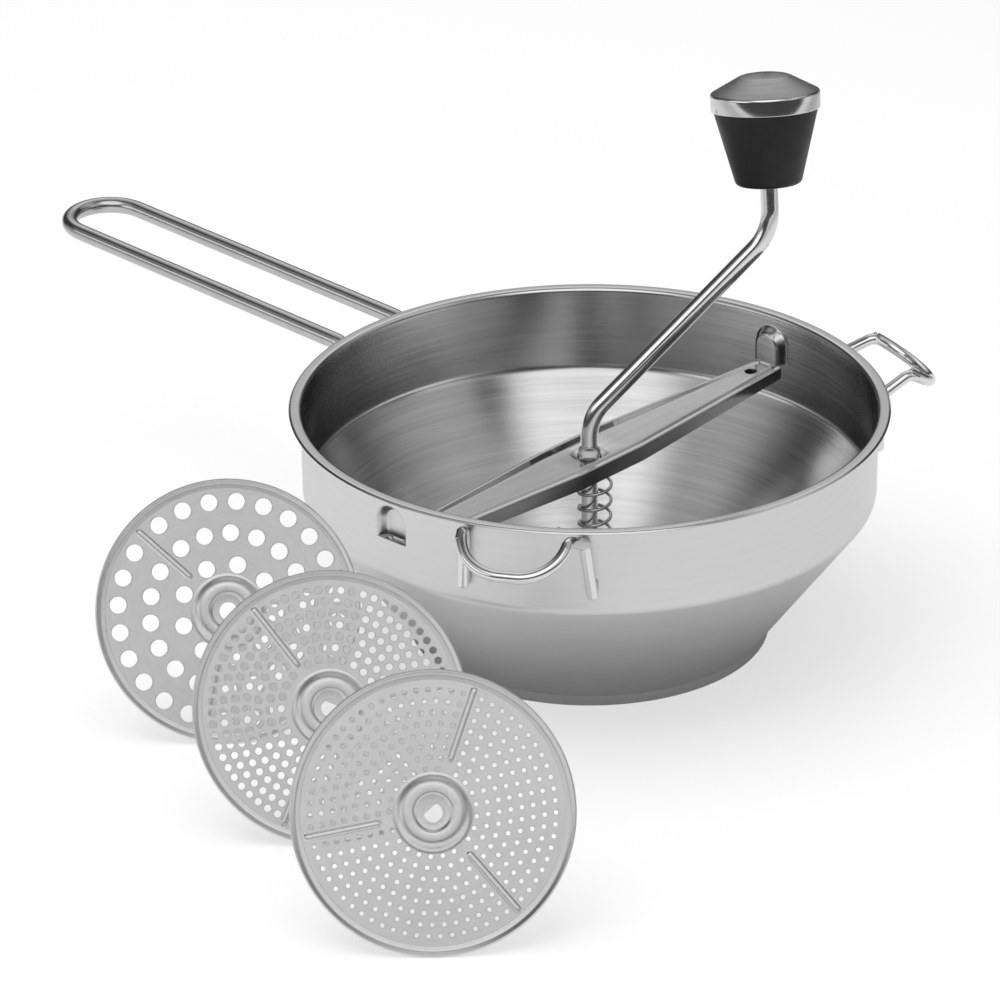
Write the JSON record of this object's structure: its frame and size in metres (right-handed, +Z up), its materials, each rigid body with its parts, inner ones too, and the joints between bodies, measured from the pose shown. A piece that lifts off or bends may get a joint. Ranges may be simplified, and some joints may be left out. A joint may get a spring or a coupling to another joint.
{
  "type": "tomato strainer with crank",
  "caption": "Hand-cranked food mill: conical steel bowl with a wire handle and hooks, a bridge, a sprung crank with a blade and knob, and loose strainer discs.",
  "frame": {"origin": "on the bowl's axis, at the lower edge of its foot", "axes": "+Z up along the bowl's axis, the handle points along -X, the bridge lies along Y"},
  "size_m": [0.456, 0.3861, 0.2336],
  "materials": {
    "bowl_steel": "satin outside, circular brushing inside",
    "wire_steel": "polished",
    "bridge_steel": "rolled sheet, lightly polished",
    "disc_steel": "fine matt",
    "blade_steel": "satin",
    "cap_steel": "turned, with a polished edge",
    "spring_steel": "bright wire",
    "knob_black": "fine matt"
  },
  "bodies": {
    "bowl": {"bowl_shell": "bowl_steel", "seat_ring": "bowl_steel", "handle_rod": "wire_steel", "handle_welds": "wire_steel", "hook_front": "wire_steel", "hook_rear": "wire_steel", "hook_welds": "wire_steel"},
    "bridge": {"bridge_bar": "bridge_steel", "bridge_bush": "bridge_steel", "upper_spring_washer": "bridge_steel", "spring": "spring_steel"},
    "lift": {"lower_spring_washer": "bridge_steel"},
    "crank": {"crank_rod": "wire_steel", "blade_hub": "blade_steel", "blade": "blade_steel", "hub_pin": "blade_steel", "knob_retainer": "wire_steel"},
    "knob": {"knob_grip": "knob_black", "knob_cap": "cap_steel", "knob_sleeve": "wire_steel"},
    "disc_coarse": {"strainer_disc_coarse": "disc_steel"},
    "disc_medium": {"strainer_disc_medium": "disc_steel"},
    "disc_fine": {"strainer_disc_fine": "disc_steel"}
  },
  "joints": [
    {"name": "bridge_turn", "type": "hinge", "parent": "bowl", "child": "bridge", "pos_m": [0, 0, 0.077], "axis": [0, 0, 1], "range_deg": [0, 32]},
    {"name": "crank_lift", "type": "slide", "parent": "bridge", "child": "lift", "axis": [0, 0, 1], "range_m": [0, 0.004], "stiffness_N_per_m": 1500, "springref_m": -0.01, "deforming": ["spring"]},
    {"name": "crank_turn", "type": "hinge", "parent": "lift", "child": "crank", "pos_m": [0, 0, 0.072], "axis": [0, 0, 1], "continuous": true},
    {"name": "knob_turn", "type": "hinge", "parent": "crank", "child": "knob", "pos_m": [0.0499, 0.04926, 0.1897], "axis": [-0.1703, 0.1151, 0.9786], "continuous": true},
    {"name": "disc_coarse_away", "type": "slide", "parent": "bowl", "child": "disc_coarse", "axis": [-0.53, -0.469, 0.7065], "range_m": [0, 0.12]},
    {"name": "disc_medium_away", "type": "slide", "parent": "bowl", "child": "disc_medium", "axis": [-0.53, -0.469, 0.7065], "range_m": [0, 0.12]},
    {"name": "disc_fine_away", "type": "slide", "parent": "bowl", "child": "disc_fine", "axis": [-0.53, -0.469, 0.7065], "range_m": [0, 0.12]}
  ]
}
